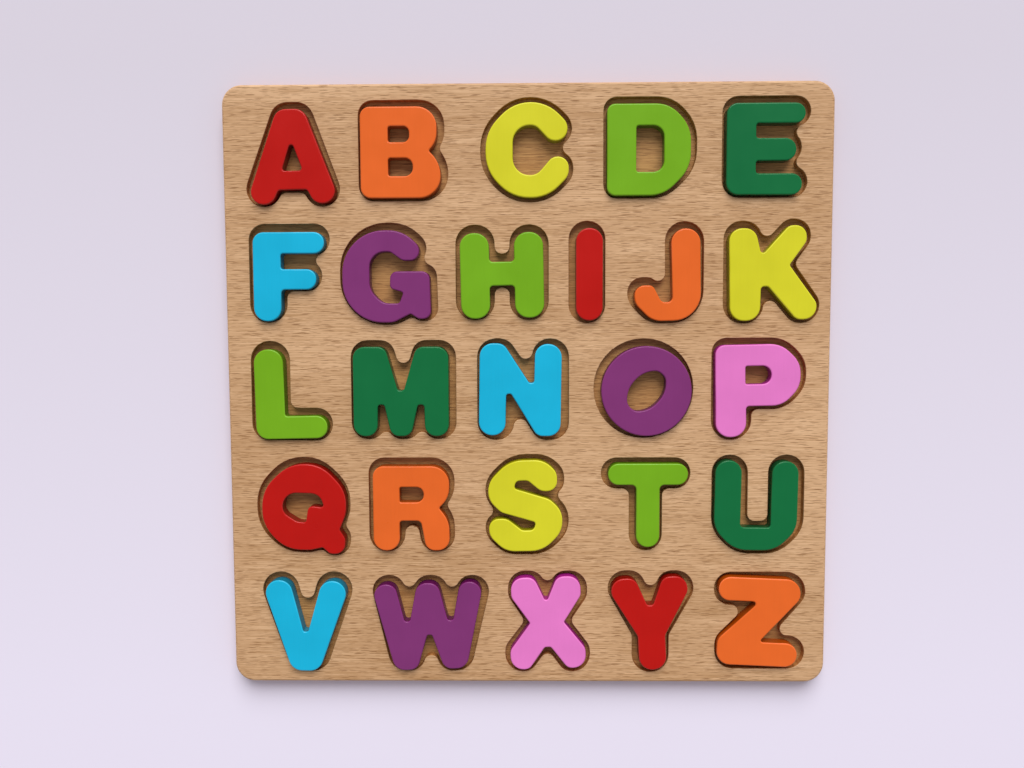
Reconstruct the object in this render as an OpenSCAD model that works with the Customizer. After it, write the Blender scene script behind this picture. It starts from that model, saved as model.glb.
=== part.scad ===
// Alphabet puzzle: a square beech board with a pocket for each capital letter,
// and a chunky painted letter lying loose in every pocket.
// Millimetres. The board lies flat and face up: +Z is up, +Y points to the A row,
// and the origin is the middle of the underside.

/* [Board] */
// Side of the square board
board_side = 200; // [186:1:260]
// Radius of the four corners of the board
board_corner_r = 6.5; // [2:0.5:12]
// Thickness of the frame panel, which is also the depth of the pockets
frame_t = 3; // [2:0.5:6]
// Thickness of the backing panel that closes the pockets from below
backing_t = 3; // [2:0.5:6]

/* [Letters] */
// Height of the capitals
capital_h = 30; // [24:0.5:32]
// Thickness of the letters
letter_t = 5; // [4:0.5:10]

/* [Pockets] */
// Gap round a letter that lies in the middle of its pocket
pocket_gap = 1.6; // [1.4:0.1:2]
// Least gap that a letter keeps to the wall of its pocket, wherever it lies
wall_gap = 0.4; // [0.3:0.05:0.6]
// Radius of the cutter, which leaves no board in gaps narrower than itself
cutter_r = 2.4; // [1.5:0.1:2.6]

/* [Finish] */
// Farthest that a facet may cut into a rounded corner of a letter
chord_depth = 0.03; // [0.02:0.01:0.08]

/* [Hidden] */
beech = "#c49c76";
beech_back = "#bb926b";
red = "#bc1f15";
orange = "#ec692c";
yellow = "#d4d133";
leaf = "#73aa22";
forest = "#0e6d3d";
sky = "#1cb4d8";
purple = "#7f3a70";
pink = "#e57bc5";

// The pocket outlines start from coarser corners, because growing them adds facets
pocket_chord_depth = 2 * chord_depth;
pocket_facets = 24;
board_facets = 64;
// Height of the capitals as the outlines below are drawn
drawn_h = 30;
letter_scale = capital_h / drawn_h;
// How far a letter can slide from the middle of its pocket
play = pocket_gap - wall_gap;

// Half an outline and its mirror image, for letters that are the same left and right
function mirrored(half) =
    concat(half, [for (i = [len(half) - 1:-1:0]) [-half[i].x, half[i].y, half[i].z]]);

function unit(v) = v / norm(v);

// The arc that rounds corner b between its neighbours a and c
function corner_arc(a, b, c, r, depth) =
    let (
        u = unit(a - b),
        v = unit(c - b),
        half = acos(u * v) / 2,
        side = sign(cross(b - a, c - b)),
        centre = b + unit(u + v) * r / sin(half),
        from = b + u * r / tan(half) - centre,
        start = atan2(from.y, from.x),
        turn = side * (180 - 2 * half),
        steps = ceil(abs(turn) / (2 * acos(1 - depth / r)))
    )
    [for (k = [0:steps]) centre + r * [cos(start + turn * k / steps), sin(start + turn * k / steps)]];

// Points of a closed outline whose corners are [x, y, rounding radius]
function rounded(corners, depth) =
    let (n = len(corners), flat = [for (c = corners) [c.x, c.y]])
    [for (i = [0:n - 1])
        each corner_arc(flat[(i + n - 1) % n], flat[i], flat[(i + 1) % n], corners[i].z, depth)];

// Corners of each letter about its own middle, anticlockwise, and of its closed counters
a_shape = mirrored([[4.7, -10.7, 1.2], [7, -15.3, 4.1], [15.6, -15.3, 4.1], [4.4, 15.3, 4.2]]);
a_hole = [[3.4, -4.5, 0.8], [0, 5.4, 0.8], [-3.4, -4.5, 0.8]];
b_shape = [[-13, -14.7, 3.4], [13.2, -14.7, 7], [13.2, -3.2, 10], [9.3, 0.5, 0.6], [12, 3.2, 7.5],
    [12, 14.7, 6.5], [-13, 14.7, 3.2]];
b_upper_hole = [[-3.9, 3.3, 0.8], [3, 3.3, 2], [3, 8.4, 2], [-3.9, 8.4, 0.8]];
b_lower_hole = [[-3.9, -7.6, 0.8], [4.1, -7.6, 2.6], [4.1, -1.8, 2.6], [-3.9, -1.8, 0.8]];
c_shape = [[13.2, 2.6, 3.9], [13.2, 8.4, 4.5], [6.6, 15, 13], [-4.3, 15, 13], [-13.5, 5.7, 13.5],
    [-13.5, -6.9, 13.5], [-4.8, -15.6, 13.5], [6.7, -15.6, 12.5], [13.6, -8.6, 4.5], [13.6, -2.4, 3.5],
    [8.3, -2.4, 3.5], [3.2, -8.3, 4.5], [-4.6, -8.3, 5.4], [-4.6, 7.6, 5.4], [2.8, 7.6, 3.5],
    [7.5, 2.6, 3.8]];
d_shape = [[-13.6, -14.7, 2.8], [4.9, -14.7, 11], [13.6, -6, 12], [13.6, 7.5, 12], [6.4, 14.7, 10],
    [-13.6, 14.7, 2.6]];
d_hole = [[-4.1, -7.1, 0.8], [4.9, -7.1, 3.6], [4.9, 7.7, 3.6], [-4.1, 7.7, 0.8]];
e_shape = [[-12.7, -14.7, 4], [11.9, -14.7, 3.4], [11.9, -7.8, 3.4], [-3.1, -7.8, 0.8],
    [-3.1, -3.8, 0.8], [9.9, -3.8, 3.6], [9.9, 3.5, 3.6], [-3.1, 3.5, 0.8], [-3.1, 8.2, 0.8],
    [12.7, 8.2, 3.2], [12.7, 14.7, 3.2], [-12.7, 14.7, 3.6]];
f_shape = [[-11.8, -14.6, 4.4], [-2.6, -14.6, 4.4], [-2.6, -4.2, 1.2], [9.1, -4.2, 3.3],
    [9.1, 2.5, 3.2], [-2.6, 2.5, 0.8], [-2.6, 7.6, 0.8], [11.8, 7.6, 3.4], [11.8, 14.6, 3.4],
    [-11.8, 14.6, 3.6]];
g_shape = [[10.6, 5.2, 3], [10.6, 9.8, 3.6], [5.3, 15.1, 11.5], [-6.6, 15.1, 13.8], [-14.8, 6.9, 13.8],
    [-14.8, -7.3, 13], [-7, -15.1, 13], [1.9, -15.1, 6], [7.6, -12.2, 0.8], [10.2, -13.9, 2],
    [14.4, -13.9, 2.6], [13.9, 1.7, 2.6], [0.9, 1.7, 2.4], [0.9, -3.9, 1.4], [5.3, -5.2, 0.7],
    [3.9, -8.8, 1], [-1.5, -8.8, 5], [-5.8, -4.5, 6], [-5.8, 8.1, 5], [1.1, 8.1, 2.5], [5, 5.2, 3]];
h_shape = mirrored([[4.1, -3.3, 1.2], [4.1, -14, 4.5], [13.7, -14, 4.5], [13.7, 14, 4.5],
    [4.1, 14, 4.5], [4.1, 4.5, 1.2]]);
i_shape = mirrored([[4.4, -15.1, 4.3], [4.4, 15.1, 4.3]]);
j_shape = [[11.1, -15, 9], [11.1, 15, 4.7], [1.5, 15, 4.7], [1.8, -8.8, 1.6], [-1.8, -8.8, 1.8],
    [-4.6, -3.2, 2.2], [-10.7, -3.2, 3.4], [-10.7, -9, 5], [-4.9, -15, 7]];
k_shape = [[-14.2, -15.4, 4.6], [-4.3, -15.4, 4.6], [-3.9, -4.3, 1.1], [-1.6, -4.3, 1.1],
    [7.6, -15.3, 3.4], [14.2, -15.3, 4.2], [14.2, -9.9, 3.2], [5.4, 2.5, 0.8], [11, 10.1, 3],
    [11, 15.4, 3.6], [5.3, 15.4, 3], [-3.7, 5.8, 0.9], [-5.7, 14.8, 4.2], [-14.2, 14.8, 4.2]];
l_shape = [[-11.9, -15, 4], [11.9, -15, 3.7], [11.9, -7.4, 3.7], [-2.1, -7.4, 0.8], [-2.1, 15, 4.7],
    [-11.9, 15, 4.7]];
m_shape = mirrored([[3.3, -14.9, 3.2], [5.6, -4.4, 0.9], [7.7, -4.4, 0.9], [7.9, -14.9, 3.7],
    [15.9, -14.9, 3.9], [15.9, 14.9, 3.9], [5.2, 14.9, 3.2], [1, 0.4, 0.9]]);
n_shape = [[-13.6, -15.3, 4.4], [-4.7, -15.3, 4.2], [-4.6, -1.4, 0.8], [-3, -1.4, 0.8],
    [5.8, -15.3, 3.3], [13.6, -15.3, 4.2], [13.6, 15.3, 4.4], [4.7, 15.3, 4.2], [4.6, 2.4, 0.8],
    [2.9, 2.4, 0.8], [-5.8, 15.3, 3.6], [-13.6, 15.3, 4.4]];
o_shape = mirrored([[14.9, -14.9, 14.8], [14.9, 14.9, 14.8]]);
o_hole = mirrored([[1.6, -7.6, 3.2], [5.2, -4, 8.6], [5.2, 4, 8.6], [1.6, 7.6, 3.2]]);
p_shape = [[-14, -15.3, 4.8], [-3.9, -15.3, 4.8], [-3.9, -5.1, 1], [8, -5.1, 8], [14, 0.9, 8.5],
    [14, 9, 8], [7.7, 15.3, 9], [-14, 15.3, 3.2]];
p_hole = [[-4.1, 2.2, 0.6], [4.4, 2.2, 2.9], [4.4, 8.2, 2.9], [-4.1, 8.2, 0.6]];
q_shape = [[2.5, -14.3, 9], [6.7, -13.2, 0.8], [9.2, -15.3, 2.2], [14.3, -15.3, 3.4],
    [14.3, -9.9, 2.6], [12.3, -7, 0.8], [14.3, -1.5, 8], [14.3, 6.2, 11.5], [5.6, 14.9, 11.5],
    [-4.9, 14.9, 12.5], [-13.9, 5.9, 12.5], [-13.9, -6.2, 12.5], [-5.8, -14.3, 12]];
q_hole = [[-2, -4.7, 4], [0.9, -4.8, 0.7], [1.6, 0.9, 1.8], [6.9, 0.4, 0.7], [5.3, 5, 4],
    [-7, 5, 4.6], [-7, -1.7, 3.5]];
r_shape = [[-12.8, -14.3, 4.3], [-3.9, -14.3, 4.3], [-3.9, -4.2, 1], [3.2, -4.2, 1.6],
    [5, -14.3, 3.4], [12.9, -14.3, 4], [12.7, -4.2, 9], [9.3, 0.1, 0.6], [12.8, 3.6, 8],
    [12.8, 14.3, 6], [-12.8, 14.3, 3.6]];
r_hole = [[-3.8, 2.1, 0.6], [4.2, 2.1, 2.4], [4.2, 7.2, 2.4], [-3.8, 7.2, 0.6]];
s_shape = [[10.8, 4.8, 3.3], [10.8, 11.1, 4.5], [6.5, 15.4, 8], [-5, 15.4, 11], [-12.3, 8.1, 7.5],
    [-12.3, 2.1, 6.5], [-8.2, -2.1, 5], [3.4, -5.6, 0.9], [2.7, -8.3, 1.6], [-1.2, -8.3, 2.2],
    [-6.2, -4.2, 4], [-12.3, -4.2, 3.3], [-12.3, -10, 5], [-6.9, -15.4, 8], [5.7, -15.4, 10],
    [12.3, -8.8, 8], [12.3, -2, 7], [8.2, 2.1, 6], [-3.6, 5.9, 0.9], [-2.9, 8.5, 1.6], [1, 8.5, 2.2],
    [5.3, 4.8, 4]];
t_shape = mirrored([[3.9, -14, 3.8], [3.9, 7, 1.6], [13.3, 7, 3.5], [13.3, 14.2, 3.5]]);
u_shape = mirrored([[6.8, -15.1, 10], [13.8, -8.1, 9], [13.8, 15.1, 4.3], [5, 15.1, 4.3], [5, -7.3, 1]]);
v_shape = mirrored([[4.6, -15.6, 4.6], [15.4, 15.6, 4.5], [5.5, 15.6, 4.5], [0.8, -2, 0.7]]);
w_shape = mirrored([[0.8, -3, 0.8], [4.6, -14.9, 3.4], [12.1, -14.9, 4.2], [19.1, 14.9, 3.9],
    [11, 14.9, 3.6], [8.2, 1.9, 0.9], [6.4, 1.9, 0.9], [3.5, 14.9, 3.8]]);
x_shape = mirrored([[1, -8.3, 1], [6.5, -15.8, 3], [12.7, -15.8, 4.3], [12.7, -9.1, 3.4], [5.7, 0.1, 0.6],
    [11.7, 9.1, 3.2], [11.7, 15.8, 4.2], [3.9, 15.8, 3.4], [0.5, 8, 0.7]]);
y_shape = mirrored([[4.6, -15.9, 4.4], [4.6, -4.2, 3], [12.8, 10.4, 3.6], [12.8, 15.9, 4.3],
    [4.7, 15.9, 3.6], [1, 6.4, 1]]);
z_shape = [[13.4, -14.8, 4.1], [13.4, -6.6, 4], [0.4, -6.6, 0.6], [13.4, 8.6, 4], [13.4, 15.3, 5],
    [-14, 15.3, 4], [-14, 7.2, 3.8], [-0.2, 7.2, 0.9], [-13.6, -6.2, 4.2], [-13.6, -14.8, 4.5]];

// Name, paint, nudge, lie, outline and counters of the letters in each row. The nudge is how far
// the pocket stands off its even place on the board. The lie is how far the letter has slid from
// the middle of its pocket, as shares of the play, and its turn
alphabet = [
    [
        ["a", red, [-0.8, -0.9], [0.1, -0.8, 1], a_shape, [a_hole]],
        ["b", orange, [-2.9, 0.1], [-0.6, -0.7, 0], b_shape, [b_upper_hole, b_lower_hole]],
        ["c", yellow, [-0.7, 0.4], [0.1, -0.3, 0], c_shape, []],
        ["d", leaf, [0.8, 0.6], [-0.5, -0.8, 0], d_shape, [d_hole]],
        ["e", forest, [0.6, 0.6], [-0.5, -0.8, 0], e_shape, []],
    ],
    [
        ["f", sky, [2, -0.6], [0.1, -1, 0], f_shape, []],
        ["g", purple, [-0.6, -0.9], [-0.5, -0.8, 0], g_shape, []],
        ["h", leaf, [-0.6, -0.6], [0, -0.9, 1], h_shape, []],
        ["i", red, [0.1, -0.6], [0.6, -0.7, 0], i_shape, []],
        ["j", orange, [1.5, -0.8], [0.3, -0.8, 1], j_shape, []],
        ["k", yellow, [2, -0.6], [0, -0.6, 1], k_shape, []],
    ],
    [
        ["l", leaf, [0.5, -0.8], [0, -0.8, 1], l_shape, []],
        ["m", forest, [-0.3, -0.6], [-0.6, -0.4, 0], m_shape, []],
        ["n", sky, [-0.4, -0.6], [-0.8, 0, -1], n_shape, []],
        ["o", purple, [0.6, -0.3], [0.7, -0.7, -42], o_shape, [o_hole]],
        ["p", pink, [-0.6, -0.6], [-0.5, -0.4, 1], p_shape, [p_hole]],
    ],
    [
        ["q", red, [0.2, -0.9], [0.4, -0.4, -2], q_shape, [q_hole]],
        ["r", orange, [-2, -0.6], [0, -0.8, 0], r_shape, [r_hole]],
        ["s", yellow, [-0.1, -0.6], [-0.5, -0.1, 1], s_shape, []],
        ["t", leaf, [2.2, -0.6], [0.5, -0.1, 0], t_shape, []],
        ["u", forest, [0.8, -0.6], [-0.8, -0.1, -1], u_shape, []],
    ],
    [
        ["v", sky, [3, -1.4], [-0.4, -0.8, -1], v_shape, []],
        ["w", purple, [2.9, -1.9], [-0.4, -0.5, 2], w_shape, []],
        ["x", pink, [1.4, -1.3], [-0.2, 0, 2], x_shape, []],
        ["y", red, [0.4, -1.3], [0, -0.2, 3], y_shape, []],
        ["z", orange, [0.3, -1.2], [-0.7, 0, -2.5], z_shape, []],
    ],
];

function name(letter) = letter[0];
function paint(letter) = letter[1];
function nudge(letter) = letter[2] * letter_scale;
function slide(letter) = [letter[3].x, letter[3].y] * play;
function turn(letter) = letter[3].z;
function outline(letter) = letter[4] * letter_scale;
function counters(letter) = letter[5] * letter_scale;

function sum(values) = values * [for (v = values) 1];

// How far a letter's pocket reaches from its middle in one direction
function reach(letter, way) =
    max([for (point = rounded(outline(letter), chord_depth)) point * way]) + pocket_gap;
function row_reach(row, way) = max([for (letter = row) reach(letter, way)]);

// The board is left in even strips: one height above, between and below the rows,
// and in each row one width beside and between its pockets
across = [for (row = alphabet)
    (board_side - sum([for (letter = row) reach(letter, [-1, 0]) + reach(letter, [1, 0])]))
    / (len(row) + 1)];
down = (board_side - sum([for (row = alphabet) row_reach(row, [0, 1]) + row_reach(row, [0, -1])]))
    / (len(alphabet) + 1);

function even_x(k, i) =
    (i == 0 ? -board_side / 2 : even_x(k, i - 1) + reach(alphabet[k][i - 1], [1, 0]))
    + across[k] + reach(alphabet[k][i], [-1, 0]);
function even_y(k) =
    (k == 0 ? board_side / 2 : even_y(k - 1) - row_reach(alphabet[k - 1], [0, -1]))
    - down - row_reach(alphabet[k], [0, 1]);

// Every letter with the middle of its pocket
placed = [for (k = [0:len(alphabet) - 1], i = [0:len(alphabet[k]) - 1])
    [alphabet[k][i], [even_x(k, i), even_y(k)] + nudge(alphabet[k][i])]];

// The rounded square that both panels are cut to
module board_outline() {
    core = board_side - 2 * board_corner_r;
    square([core, board_side], center = true);
    square([board_side, core], center = true);
    for (x = [-1, 1], y = [-1, 1])
        translate([x, y] * core / 2)
            circle(board_corner_r, $fn = board_facets);
}

// A letter's outline with its counters cut out
module letter_outline(letter)
    difference() {
        polygon(rounded(outline(letter), chord_depth));
        for (corners = counters(letter))
            polygon(rounded(corners, chord_depth));
    }

// The pocket follows the letter with an even gap, and the cutter rounds what stands between its strokes
module pocket_outline(letter)
    offset(r = -cutter_r, $fn = pocket_facets)
        fill()
            offset(r = cutter_r + pocket_gap, $fn = pocket_facets)
                polygon(rounded(outline(letter), pocket_chord_depth));

// Upper panel, cut right through at every pocket
module frame_panel()
    color(beech)
        translate([0, 0, backing_t])
            linear_extrude(frame_t)
                difference() {
                    board_outline();
                    for (p = placed)
                        translate(p[1])
                            pocket_outline(p[0]);
                }

// Lower panel, glued behind the frame panel as the floor of the pockets
module backing_panel()
    color(beech_back)
        linear_extrude(backing_t)
            board_outline();

// One loose letter, lying on the floor of its pocket
module letter(letter, pocket)
    color(paint(letter))
        translate([0, 0, backing_t])
            linear_extrude(letter_t)
                translate(pocket + slide(letter))
                    rotate(turn(letter))
                        letter_outline(letter);

frame_panel();
backing_panel();
for (p = placed)
    letter(p[0], p[1]);
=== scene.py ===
# %% [markdown]
# # Alphabet puzzle
#
# The real object is a square beech board about 20 cm wide. A frame panel is sawn right through
# in the shape of every capital, a second panel is glued behind it, and 26 painted wooden
# capitals lie loose in the pockets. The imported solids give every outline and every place, so
# this lesson only does what a workshop does last: it eases the edges, sands, paints and lights.

# %% The fixed frame
import math

import bmesh
import bpy
from mathutils import Euler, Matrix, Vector


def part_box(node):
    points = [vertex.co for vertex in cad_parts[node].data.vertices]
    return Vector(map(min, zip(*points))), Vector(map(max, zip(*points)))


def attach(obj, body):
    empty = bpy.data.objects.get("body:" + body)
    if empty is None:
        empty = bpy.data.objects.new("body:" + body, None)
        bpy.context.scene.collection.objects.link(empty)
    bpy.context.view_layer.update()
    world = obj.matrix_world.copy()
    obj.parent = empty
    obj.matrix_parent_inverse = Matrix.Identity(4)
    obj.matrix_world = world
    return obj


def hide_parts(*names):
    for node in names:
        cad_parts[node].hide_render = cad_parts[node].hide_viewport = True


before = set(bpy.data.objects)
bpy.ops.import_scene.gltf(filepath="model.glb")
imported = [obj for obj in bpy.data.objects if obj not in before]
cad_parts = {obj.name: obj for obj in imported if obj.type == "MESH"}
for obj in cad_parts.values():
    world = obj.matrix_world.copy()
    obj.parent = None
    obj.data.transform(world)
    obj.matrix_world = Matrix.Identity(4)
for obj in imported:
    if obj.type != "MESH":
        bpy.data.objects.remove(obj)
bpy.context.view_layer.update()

# %% [markdown]
# ## Units, colours and nodes
#
# Blender works in metres, while a joiner thinks in millimetres, so MM turns one into the
# other. Colours are written as the sRGB hex values that a paint chart gives, and a shader needs
# linear light, so one function converts them. Materials are trees of nodes. One helper adds a
# node, sets its properties and fills its sockets, either with a value or with a link. A socket
# goes by its name, or by its number where several have the same name. The numbers of a Mix node
# that mixes two colours are hard to remember, so they get names here.

# %% Helpers for units, colours and nodes
MM = 0.001
SHARE, UNDER, OVER = 0, 6, 7
MIXED = 2


def linear(hex_colour):
    """An sRGB colour such as "c49c76" as linear red, green, blue and alpha."""
    shares = [int(hex_colour[i:i + 2], 16) / 255 for i in (0, 2, 4)]
    return [s / 12.92 if s <= 0.04045 else ((s + 0.055) / 1.055) ** 2.4 for s in shares] + [1.0]


def add(tree, kind, sockets=None, **settings):
    """Adds one node. Sockets take a value, or the output of another node as a link."""
    node = tree.nodes.new("ShaderNode" + kind)
    for name, value in settings.items():
        setattr(node, name, value)
    for key, value in (sockets or {}).items():
        if isinstance(value, bpy.types.NodeSocket):
            tree.links.new(value, node.inputs[key])
        else:
            node.inputs[key].default_value = value
    return node


def empty_material(name):
    """A new material with a Principled shader already wired to its output."""
    material = bpy.data.materials.new(name)
    material.use_nodes = True
    tree = material.node_tree
    tree.nodes.clear()
    shader = add(tree, "BsdfPrincipled")
    add(tree, "OutputMaterial", {"Surface": shader.outputs[0]})
    return material, tree, shader


print("mid beech in linear light", [round(c, 3) for c in linear("c49c76")])

# %% [markdown]
# ## Camera
#
# The photograph looks almost straight down at the board from about 30 cm, tipped by four
# degrees. A camera could be nudged by eye until it fits, but the four edges of the board are
# enough to work out the focal length, which is 900 pixels in a picture 1024 pixels wide, and
# the place and tilt of the lens.

# %% Camera
PICTURE_WIDTH = 1024
FOCAL_PIXELS = 900
SENSOR_WIDTH = 36
NEAREST_SEEN = 10 * MM
LENS_PLACE = Vector((-0.85, 22.74, 304.77)) * MM
LENS_DEGREES = (-4.031, 0.818, -0.220)

scene = bpy.context.scene
camera = bpy.data.objects.new("camera", bpy.data.cameras.new("camera"))
scene.collection.objects.link(camera)
camera.data.sensor_fit = "HORIZONTAL"
camera.data.sensor_width = SENSOR_WIDTH
camera.data.lens = SENSOR_WIDTH * FOCAL_PIXELS / PICTURE_WIDTH
camera.data.clip_start = NEAREST_SEEN
camera.location = LENS_PLACE
camera.rotation_euler = Euler([math.radians(a) for a in LENS_DEGREES], "XYZ")
scene.camera = camera
print("lens", round(camera.data.lens, 2), "mm")

# %% [markdown]
# ## Light
#
# The light in the photograph is soft and comes from the top of the picture, so the upper walls
# of the pockets throw a shadow and the lower sides of the letters are dark. Below each letter
# lies a soft shadow about 3 mm wide, although the letters stand only 2 mm proud, so the light is
# rather low: 40 degrees above the table. It is as bright on the last row as on the first, so it
# comes from far off: a sun lamp with a wide disc, like a bright window, does that better than an
# area lamp close by. An even pale world fills the rest. Together they are set to the level at
# which a matt surface renders about as its colour is written.

# %% Light
ROOM_STRENGTH = 0.42
WINDOW = Vector((0.10, 1.20, 1.0))
WINDOW_STRENGTH = 2.97
WINDOW_DEGREES = 44

scene.view_settings.view_transform = "Standard"

world = bpy.data.worlds.new("pale room")
world.use_nodes = True
room = world.node_tree.nodes["Background"]
room.inputs["Color"].default_value = linear("f7f5fb")
room.inputs["Strength"].default_value = ROOM_STRENGTH
scene.world = world

lamp = bpy.data.objects.new("window", bpy.data.lights.new("window", "SUN"))
scene.collection.objects.link(lamp)
lamp.data.energy = WINDOW_STRENGTH
lamp.data.angle = math.radians(WINDOW_DEGREES)
lamp.location = WINDOW
lamp.rotation_euler = (-WINDOW).to_track_quat("-Z", "Y").to_euler()
print("window", WINDOW_STRENGTH, "W per square metre, room", ROOM_STRENGTH)

# %% [markdown]
# ## Floor
#
# The puzzle lies on a large sheet of matt lilac card, which takes the soft shadow of the board.
# To the eye card is dull and even, with a fine tooth that only shows where light grazes it. A
# plain square is enough for it: a fine noise gives the tooth, and the colour is a little paler
# towards the bottom of the picture, which is painted light.

# %% Floor
CARD_TOOTH = 1.5
# Half the length over which painted light makes the card paler towards the bottom
PAINTED_LIGHT_HALF = 110 * MM
FLOOR_HALF = 1.5

card, tree, shader = empty_material("lilac card, matt")
place = add(tree, "TexCoord").outputs["Object"]
tooth = add(tree, "TexNoise", {"Vector": place, "Scale": 1 / (CARD_TOOTH * MM), "Detail": 2.0})
raised = add(tree, "Bump", {"Height": tooth.outputs["Fac"], "Distance": 0.02 * MM,
                            "Strength": 0.3})
tree.links.new(raised.outputs[0], shader.inputs["Normal"])
north = add(tree, "SeparateXYZ", {0: place}).outputs["Y"]
# Painted light: the card is paler towards the bottom of the picture
painted_light_fade = add(tree, "MapRange", {"Value": north, "From Min": -PAINTED_LIGHT_HALF, "From Max": PAINTED_LIGHT_HALF})
tone = add(tree, "Mix", {SHARE: painted_light_fade.outputs[0], UNDER: linear("e8e1f0"),
                         OVER: linear("dad3de")}, data_type="RGBA")
tree.links.new(tone.outputs[MIXED], shader.inputs["Base Color"])
shader.inputs["Roughness"].default_value = 0.8
shader.inputs["Specular IOR Level"].default_value = 0.2

corners = [(x * FLOOR_HALF, y * FLOOR_HALF, 0) for x, y in ((-1, -1), (1, -1), (1, 1), (-1, 1))]
mesh = bpy.data.meshes.new("floor")
mesh.from_pydata(corners, [], [(0, 1, 2, 3)])
floor = bpy.data.objects.new("floor", mesh)
floor.data.materials.append(card)
scene.collection.objects.link(floor)
print("floor", 2 * FLOOR_HALF, "m wide, of", card.name)

# %% [markdown]
# ## Beech, sawn and sanded
#
# Beech is known by its rays. On a sawn face they show as short dark dashes, 2 to 4 mm long and
# a fifth of a millimetre thick, scattered all over a pale pinkish brown ground. Behind them lie
# slow bands of growth, fine fibres that all run one way, and a few broad blotches. A picture of
# wood could be wrapped on, but a procedural wood stays sharp and has no seams: noise is stretched
# along the grain for bands and fibres, and Voronoi cells, stretched the same way, give each ray
# its own place. Every stretch is a real size in millimetres.

# %% Sizes and strengths of the grain
# Length along the grain, width and depth of each feature
BANDS = (260, 10, 10)
FIBRES = (14, 0.3, 0.3)
BLOTCHES = (70, 45, 45)
RAYS = (7, 0.33, 0.33)
SMALL_RAYS = (4.2, 0.25, 0.25)
# A ray ends at this share of its cell, and is fully dark within this share of itself
RAY_REACH = 0.285
RAY_CORE = 0.6
# Rays and fibres wander by half a millimetre to either side instead of running dead straight
SWAY_LENGTH = 35
SWAY_WIDTH = 1.0
# How much each layer counts for the tone, and the sums at which the wood is darkest and palest
TONE_WEIGHTS = {"bands": 0.55, "blotches": 0.35, "fibres": 1.7}
DARKEST, PALEST = 1.05, 1.59
RAY_SHARES = {"rays": 0.9, "small rays": 0.6}
print("tone weights", TONE_WEIGHTS, "rays", RAY_SHARES)

# %% Beech material


def sanded_beech(name, dark, light, ray, shift):
    """Beech with the grain along X. Shift, in mm, picks another part of the tree."""
    material, tree, shader = empty_material(name)
    place = add(tree, "TexCoord").outputs["Object"]
    moved = add(tree, "VectorMath", {0: place, 1: Vector(shift) * MM}, operation="ADD").outputs[0]
    sway = add(tree, "TexNoise", {"Vector": moved, "Scale": 1 / (SWAY_LENGTH * MM), "Detail": 1.0})
    bent = add(tree, "VectorMath", {0: sway.outputs["Color"], 1: (0, SWAY_WIDTH * MM, 0), 2: moved},
               operation="MULTIPLY_ADD").outputs[0]

    grain = {}
    for layer, size, detail in (("bands", BANDS, 3.0), ("fibres", FIBRES, 3.0),
                                ("blotches", BLOTCHES, 1.0)):
        stretched = add(tree, "Mapping", {"Vector": bent, "Scale": [1 / (s * MM) for s in size]})
        noise = add(tree, "TexNoise", {"Vector": stretched.outputs[0], "Scale": 1.0,
                                       "Detail": detail, "Roughness": 0.6})
        grain[layer] = noise.outputs["Fac"]
    for layer, size in (("rays", RAYS), ("small rays", SMALL_RAYS)):
        stretched = add(tree, "Mapping", {"Vector": bent, "Scale": [1 / (s * MM) for s in size]})
        cells = add(tree, "TexVoronoi", {"Vector": stretched.outputs[0], "Scale": 1.0})
        dash = add(tree, "MapRange", {"Value": cells.outputs["Distance"],
                                      "From Min": RAY_CORE * RAY_REACH, "From Max": RAY_REACH,
                                      "To Min": 1.0, "To Max": 0.0},
                   interpolation_type="SMOOTHSTEP")
        grain[layer] = dash.outputs[0]

    tone = 0.0
    for layer, weight in TONE_WEIGHTS.items():
        tone = add(tree, "Math", {0: grain[layer], 1: weight, 2: tone},
                   operation="MULTIPLY_ADD").outputs[0]
    pale = add(tree, "MapRange", {"Value": tone, "From Min": DARKEST, "From Max": PALEST})
    wood = add(tree, "Mix", {SHARE: pale.outputs[0], UNDER: linear(dark), OVER: linear(light)},
               data_type="RGBA").outputs[MIXED]
    for layer, share in RAY_SHARES.items():
        much = add(tree, "Math", {0: grain[layer], 1: share}, operation="MULTIPLY").outputs[0]
        wood = add(tree, "Mix", {SHARE: much, UNDER: wood, OVER: linear(ray)},
                   data_type="RGBA").outputs[MIXED]
    tree.links.new(wood, shader.inputs["Base Color"])

    # Sanding leaves the fibres a little proud and the rays a little low, and dulls the fibres
    height = add(tree, "Math", {0: grain["rays"], 1: -0.6, 2: grain["fibres"]},
                 operation="MULTIPLY_ADD").outputs[0]
    raised = add(tree, "Bump", {"Height": height, "Distance": 0.06 * MM, "Strength": 0.35})
    tree.links.new(raised.outputs[0], shader.inputs["Normal"])
    rough = add(tree, "MapRange", {"Value": grain["fibres"], "To Min": 0.42, "To Max": 0.56})
    tree.links.new(rough.outputs[0], shader.inputs["Roughness"])
    shader.inputs["IOR"].default_value = 1.5
    shader.inputs["Specular IOR Level"].default_value = 0.25
    return material


frame_beech = sanded_beech("beech sheet, sanded face", "b58a5f", "deb58b", "7b4d21", (0, 0, 0))
# The backing face is darker and warmer than the frame face: painted shade for the shaded pocket
# floors where it is seen
backing_beech_with_painted_shade = sanded_beech("beech sheet, backing face with painted shade", "a47343", "cc9a60", "7a502b",
                             (613, 287, 41))
print("woods", frame_beech.name, "and", backing_beech_with_painted_shade.name)

# %% [markdown]
# ## Sawn edges
#
# The walls of the pockets and the outer edges were left by a small cutter. The edge shows
# fibres cut across, so it is darker and duller than the face, with fine upright tool marks. Its
# warm, saturated red-brown is partly painted shade: it copies the colour of the shaded pocket
# walls.
# Marks could be modelled, but they are too shallow to see as shapes. Noise that is short along
# the edge and long in height gives them on a wall that faces any way.

# %% Sawn edge material
TOOL_MARKS = (0.7, 0.7, 9)

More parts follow.
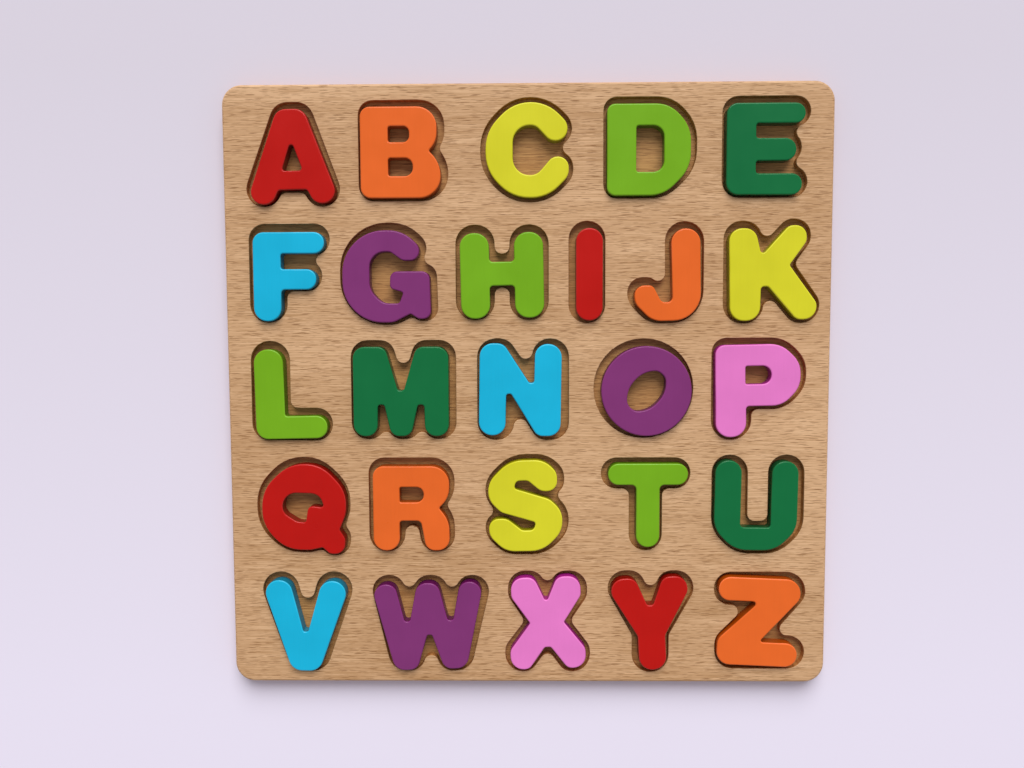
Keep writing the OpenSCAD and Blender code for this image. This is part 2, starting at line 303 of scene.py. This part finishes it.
sawn_edge, tree, shader = empty_material("beech, cutter-sawn edge")
place = add(tree, "TexCoord").outputs["Object"]
upright = add(tree, "Mapping", {"Vector": place, "Scale": [1 / (s * MM) for s in TOOL_MARKS]})
marks = add(tree, "TexNoise", {"Vector": upright.outputs[0], "Scale": 1.0, "Detail": 3.0})
shade = add(tree, "MapRange", {"Value": marks.outputs["Fac"], "From Min": 0.3, "From Max": 0.7})
# The edge's warm, saturated red-brown is partly painted shade
wood = add(tree, "Mix", {SHARE: shade.outputs[0], UNDER: linear("a4642b"),
                         OVER: linear("cf8f4f")}, data_type="RGBA")
tree.links.new(wood.outputs[MIXED], shader.inputs["Base Color"])
raised = add(tree, "Bump", {"Height": marks.outputs["Fac"], "Distance": 0.08 * MM,
                            "Strength": 0.4})
tree.links.new(raised.outputs[0], shader.inputs["Normal"])
shader.inputs["Roughness"].default_value = 0.68
print("edge", sawn_edge.name)

# %% [markdown]
# ## Satin paint
#
# The capitals are sprayed with a water-based toy paint: opaque, satin, in eight clear colours.
# Up close a sprayed coat has a fine orange peel, the wood's grain still shows through as faint
# lines, and the coat is a little uneven over a letter. The rounded rim is paler: partly a thinner
# coat there, partly a painted highlight. The sides are darker and fuller, which is painted shade.
# Three materials could share that out, but one does it by the normal: on a flat top it points
# straight up, on a wall it lies level, and only on the rounding is it in between.

# %% Sizes and strengths of the coat
ORANGE_PEEL = 0.9
GRAIN_LINES = (0.5, 11, 11)
COAT_PATCH = 14
LIGHTEST_COAT, DARKEST_COAT = 1.07, 0.93
# The upward part of the normal on a side and on a top, and how dark and how full a side is; the
# darker, fuller side is painted shade
ON_SIDE, ON_TOP = 0.3, 0.98
SIDE_SHADE_VALUE = 0.45
SIDE_SHADE_FULLNESS = 1.3
# The colour of the pale rim, a thin coat and a painted highlight, beside the full one, and the
# least and most of it there
RIM_VALUE = 1.3
RIM_FULLNESS = 0.95
LEAST_WEAR_AND_HIGHLIGHT, MOST_WEAR_AND_HIGHLIGHT = 0.2, 0.7
print("coat varies from", DARKEST_COAT, "to", LIGHTEST_COAT)

# %% Paint material


def satin_paint(name, hex_colour):
    """Sprayed toy paint over wood with the grain along Y."""
    material, tree, shader = empty_material(name)
    coords = add(tree, "TexCoord")
    place = coords.outputs["Object"]
    stretched = add(tree, "Mapping", {"Vector": place,
                                      "Scale": [1 / (s * MM) for s in GRAIN_LINES]}).outputs[0]
    peel = add(tree, "TexNoise", {"Vector": place, "Scale": 1 / (ORANGE_PEEL * MM),
                                  "Detail": 1.0}).outputs["Fac"]
    lines = add(tree, "TexNoise", {"Vector": stretched, "Scale": 1.0,
                                   "Detail": 2.0}).outputs["Fac"]
    coat = add(tree, "TexNoise", {"Vector": place, "Scale": 1 / (COAT_PATCH * MM),
                                  "Detail": 2.0}).outputs["Fac"]

    # The full coat, uneven over the letter, with painted shade that makes it darker and fuller on
    # the sides
    uneven = add(tree, "Math", {0: lines, 1: 0.25, 2: coat}, operation="MULTIPLY_ADD").outputs[0]
    value = add(tree, "MapRange", {"Value": uneven, "From Min": 0.35, "From Max": 1.05,
                                   "To Min": DARKEST_COAT, "To Max": LIGHTEST_COAT}).outputs[0]
    up = add(tree, "SeparateXYZ", {0: coords.outputs["Normal"]}).outputs["Z"]
    painted_side_shade = add(tree, "MapRange", {"Value": up, "From Min": ON_SIDE, "From Max": ON_TOP,
                                   "To Min": SIDE_SHADE_VALUE, "To Max": 1.0}).outputs[0]
    value = add(tree, "Math", {0: value, 1: painted_side_shade}, operation="MULTIPLY").outputs[0]
    painted_side_fullness = add(tree, "MapRange", {"Value": up, "From Min": ON_SIDE, "From Max": ON_TOP,
                                      "To Min": SIDE_SHADE_FULLNESS, "To Max": 1.0}).outputs[0]
    tint = add(tree, "HueSaturation", {"Saturation": painted_side_fullness, "Value": value,
                                       "Color": linear(hex_colour)}).outputs[0]

    # The pale rim, a thin coat and a painted highlight, only on the rounding between wall and top
    off_wall = add(tree, "MapRange", {"Value": up, "From Min": 0.1, "From Max": 0.5},
                   interpolation_type="SMOOTHSTEP").outputs[0]
    off_top = add(tree, "MapRange", {"Value": up, "From Min": 0.8, "From Max": 0.99,
                                     "To Min": 1.0, "To Max": 0.0},
                  interpolation_type="SMOOTHSTEP").outputs[0]
    rim = add(tree, "Math", {0: off_wall, 1: off_top}, operation="MULTIPLY").outputs[0]
    wear_and_highlight = add(tree, "MapRange", {"Value": coat, "From Min": 0.35, "From Max": 0.65,
                                  "To Min": LEAST_WEAR_AND_HIGHLIGHT, "To Max": MOST_WEAR_AND_HIGHLIGHT}).outputs[0]
    thin_coat_and_highlight = add(tree, "Math", {0: rim, 1: wear_and_highlight}, operation="MULTIPLY").outputs[0]
    pale = add(tree, "HueSaturation", {"Saturation": RIM_FULLNESS, "Value": RIM_VALUE,
                                       "Color": linear(hex_colour)}).outputs[0]
    paint = add(tree, "Mix", {SHARE: thin_coat_and_highlight, UNDER: tint, OVER: pale}, data_type="RGBA")
    tree.links.new(paint.outputs[MIXED], shader.inputs["Base Color"])

    # Orange peel with a trace of the grain, and a gloss that follows the coat
    height = add(tree, "Math", {0: lines, 1: 0.2, 2: peel}, operation="MULTIPLY_ADD").outputs[0]
    raised = add(tree, "Bump", {"Height": height, "Distance": 0.03 * MM, "Strength": 0.35})
    tree.links.new(raised.outputs[0], shader.inputs["Normal"])
    rough = add(tree, "MapRange", {"Value": coat, "From Min": 0.3, "From Max": 0.7,
                                   "To Min": 0.27, "To Max": 0.35})
    tree.links.new(rough.outputs[0], shader.inputs["Roughness"])
    shader.inputs["IOR"].default_value = 1.5
    shader.inputs["Specular IOR Level"].default_value = 0.25
    return material


# %% Eight colours and their letters
PAINTS = {
    "red": ("ba0c03", "aiqy"), "orange": ("e86824", "bjrz"), "yellow": ("d6d226", "cks"),
    "leaf": ("74ac16", "dhlt"), "forest": ("066c39", "emu"), "sky": ("12b3d9", "fnv"),
    "purple": ("7f3270", "gow"), "pink": ("e67cc6", "px"),
}
coats = {paint: satin_paint("toy paint, sprayed satin " + paint, hex_colour)
         for paint, (hex_colour, letters) in PAINTS.items()}
print("paints", sorted(coats))

# %% [markdown]
# ## Easing the edges
#
# Every piece here is a flat sheet sawn along an outline, so its solid is a prism with sharp
# edges. Real ones are sanded: each edge has a small rounding that catches the light. The Bevel
# modifier could do it, but a top face with many holes makes it stumble. It is as simple to
# build the sheet anew from its outlines: the edges where the top meets a wall are chained into
# loops, each loop is repeated in rings that step inwards and upwards along a quarter circle,
# and the last ring is filled. Each point's normal is known exactly, so the shading is smooth
# on the rounding and flat on the face.

# %% Outlines of a solid
WELD = 0.002 * MM
# A face is a top or a wall where the upward part of its normal is past these
TOP_FROM = 0.9
WALL_TO = 0.1


def top_outlines(node):
    """Loops of 2-D points round the top of a CAD node, with the wood on the left hand."""
    bm = bmesh.new()
    bm.from_mesh(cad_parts[node].data)
    bmesh.ops.remove_doubles(bm, verts=bm.verts, dist=WELD)
    follows = {}
    for face in bm.faces:
        if face.normal.z > TOP_FROM:
            for corner in face.loops:
                if abs(corner.link_loop_radial_next.face.normal.z) < WALL_TO:
                    follows[corner.vert] = corner.link_loop_next.vert
    loops = []
    while follows:
        vert, after = follows.popitem()
        loop = [vert.co.xy]
        while after in follows:
            loop.append(after.co.xy)
            after = follows.pop(after)
        loops.append(loop)
    bm.free()
    return sorted(loops, key=lambda loop: min(p.x for p in loop))


print("outlines of B", [len(loop) for loop in top_outlines("letter_b")], "points")

# %% Rings round an eased edge
EASE_STEPS = 5


def outward(loop):
    """At each point of a loop, the level vector that moves both its walls out by one unit."""
    found = []
    for i, point in enumerate(loop):
        before = (point - loop[i - 1]).normalized()
        after = (loop[(i + 1) % len(loop)] - point).normalized()
        n = Vector((before.y, -before.x)) + Vector((after.y, -after.x))
        found.append(n * 2 / n.length_squared)
    return found


def edge_profile(low, high, low_r, top_r):
    """Rings from the low face to the top one: how far in, how high, and the normal's tilt."""
    quarter = [math.radians(90 * k / EASE_STEPS) for k in range(EASE_STEPS + 1)]
    below = [(low_r * (1 - math.cos(a)), low + low_r * (1 - math.sin(a)), -a)
             for a in (quarter if low_r else [0])]
    above = [(top_r * (1 - math.cos(a)), high - top_r * (1 - math.sin(a)), a)
             for a in (quarter if top_r else [0])]
    return below[::-1] + above


print("rings on an edge eased above and below", len(edge_profile(0, 1, 0.1, 0.1)))

# %% Sheets with eased edges


def eased_sheet(name, loops, low, high, top_ease, low_ease):
    """A sheet between two heights. Each loop has its own rounding at the top and below, or none."""
    bm = bmesh.new()
    normals = []
    ends = {"top": [], "low": []}
    for loop, top_r, low_r in zip(loops, top_ease, low_ease):
        out = outward(loop)
        rings = []
        for inset, z, tilt in edge_profile(low, high, low_r, top_r):
            ring = []
            for point, n in zip(loop, out):
                ring.append(bm.verts.new((*(point - n * inset), z)))
                level = n.normalized() * math.cos(tilt)
                normals.append((level.x, level.y, math.sin(tilt)))
            rings.append(ring)
        for lower, upper in zip(rings, rings[1:]):
            for i in range(len(loop)):
                bm.faces.new((lower[i - 1], lower[i], upper[i], upper[i - 1]))
        ends["low"].append(rings[0])
        ends["top"].append(rings[-1])
    walls = len(bm.faces)
    for side, rings in ends.items():
        rims = [bm.edges.get((ring[i - 1], ring[i])) for ring in rings for i in range(len(ring))]
        filled = bmesh.ops.triangle_fill(bm, edges=rims, use_beauty=True, use_dissolve=False)
        up = 1 if side == "top" else -1
        turned = [f for f in filled["geom"]
                  if isinstance(f, bmesh.types.BMFace) and f.normal.z * up < 0]
        bmesh.ops.reverse_faces(bm, faces=turned)
    bm.verts.index_update()
    mesh = bpy.data.meshes.new(name)
    bm.to_mesh(mesh)
    bm.free()
    mesh.polygons.foreach_set("use_smooth", [True] * len(mesh.polygons))
    mesh.normals_split_custom_set_from_vertices(normals)
    piece = bpy.data.objects.new(name, mesh)
    scene.collection.objects.link(piece)
    flats = len(mesh.polygons) - walls
    print(name, len(loops), "outlines,", walls, "wall faces,", flats, "flat faces")
    return piece


# %% [markdown]
# ## Frame panel
#
# The upper panel carries the grain that one sees. Its outer edge is sanded round by hand, to
# nearly a millimetre, while the rims of the pockets are only broken with fine paper. The face
# and the walls show different wood. They could be two objects, but one mesh with two material
# slots has no gap between them, so each face gets its slot by the way it points.

# %% Frame panel
OUTER_EASE = 0.9 * MM
POCKET_EASE = 0.22 * MM
SEAM_EASE = 0.15 * MM
# The sawn edge begins where the upward part of a face's normal falls below this
SAWN_BELOW = 0.35


def dress_panel(piece, face_wood):
    """Face wood on what looks up or down, the sawn edge on the walls."""
    piece.data.materials.append(face_wood)
    piece.data.materials.append(sawn_edge)
    for face in piece.data.polygons:
        face.material_index = int(abs(face.normal.z) < SAWN_BELOW)


low, high = (corner.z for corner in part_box("frame_panel"))
loops = top_outlines("frame_panel")
pockets = len(loops) - 1
frame_panel = eased_sheet("frame_panel_sanded", loops, low, high,
                          [OUTER_EASE] + [POCKET_EASE] * pockets, [SEAM_EASE] + [0] * pockets)
dress_panel(frame_panel, frame_beech)
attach(frame_panel, "board")
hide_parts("frame_panel")

# %% [markdown]
# ## Backing panel
#
# The lower panel is the same square without cuts. Where the two are glued, both edges were
# broken first, so a fine groove runs round the board. A groove could be cut into one block, but
# two eased sheets laid together give it without any cutting, as they do in the workshop.

# %% Backing panel
low, high = (corner.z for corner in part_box("backing_panel"))
backing_panel = eased_sheet("backing_panel_sanded", top_outlines("backing_panel"), low, high,
                            [SEAM_EASE], [OUTER_EASE])
dress_panel(backing_panel, backing_beech_with_painted_shade)
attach(backing_panel, "board")
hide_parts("backing_panel")

# %% [markdown]
# ## Capitals
#
# A letter for small hands has every edge rounded, above and below, before it is painted. The
# paint covers all of it, so one material is enough, and letters of a colour share it, as they
# share a batch at the spray gun. Each letter rides on its own body, because it lifts out of its
# pocket.

# %% Capitals
LETTER_EASE = 0.5 * MM

for paint, (hex_colour, letters) in PAINTS.items():
    for letter in letters:
        node = "letter_" + letter
        low, high = (corner.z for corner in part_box(node))
        loops = top_outlines(node)
        capital = eased_sheet("capital_" + letter, loops, low, high,
                              [LETTER_EASE] * len(loops), [LETTER_EASE] * len(loops))
        capital.data.materials.append(coats[paint])
        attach(capital, node)
        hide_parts(node)
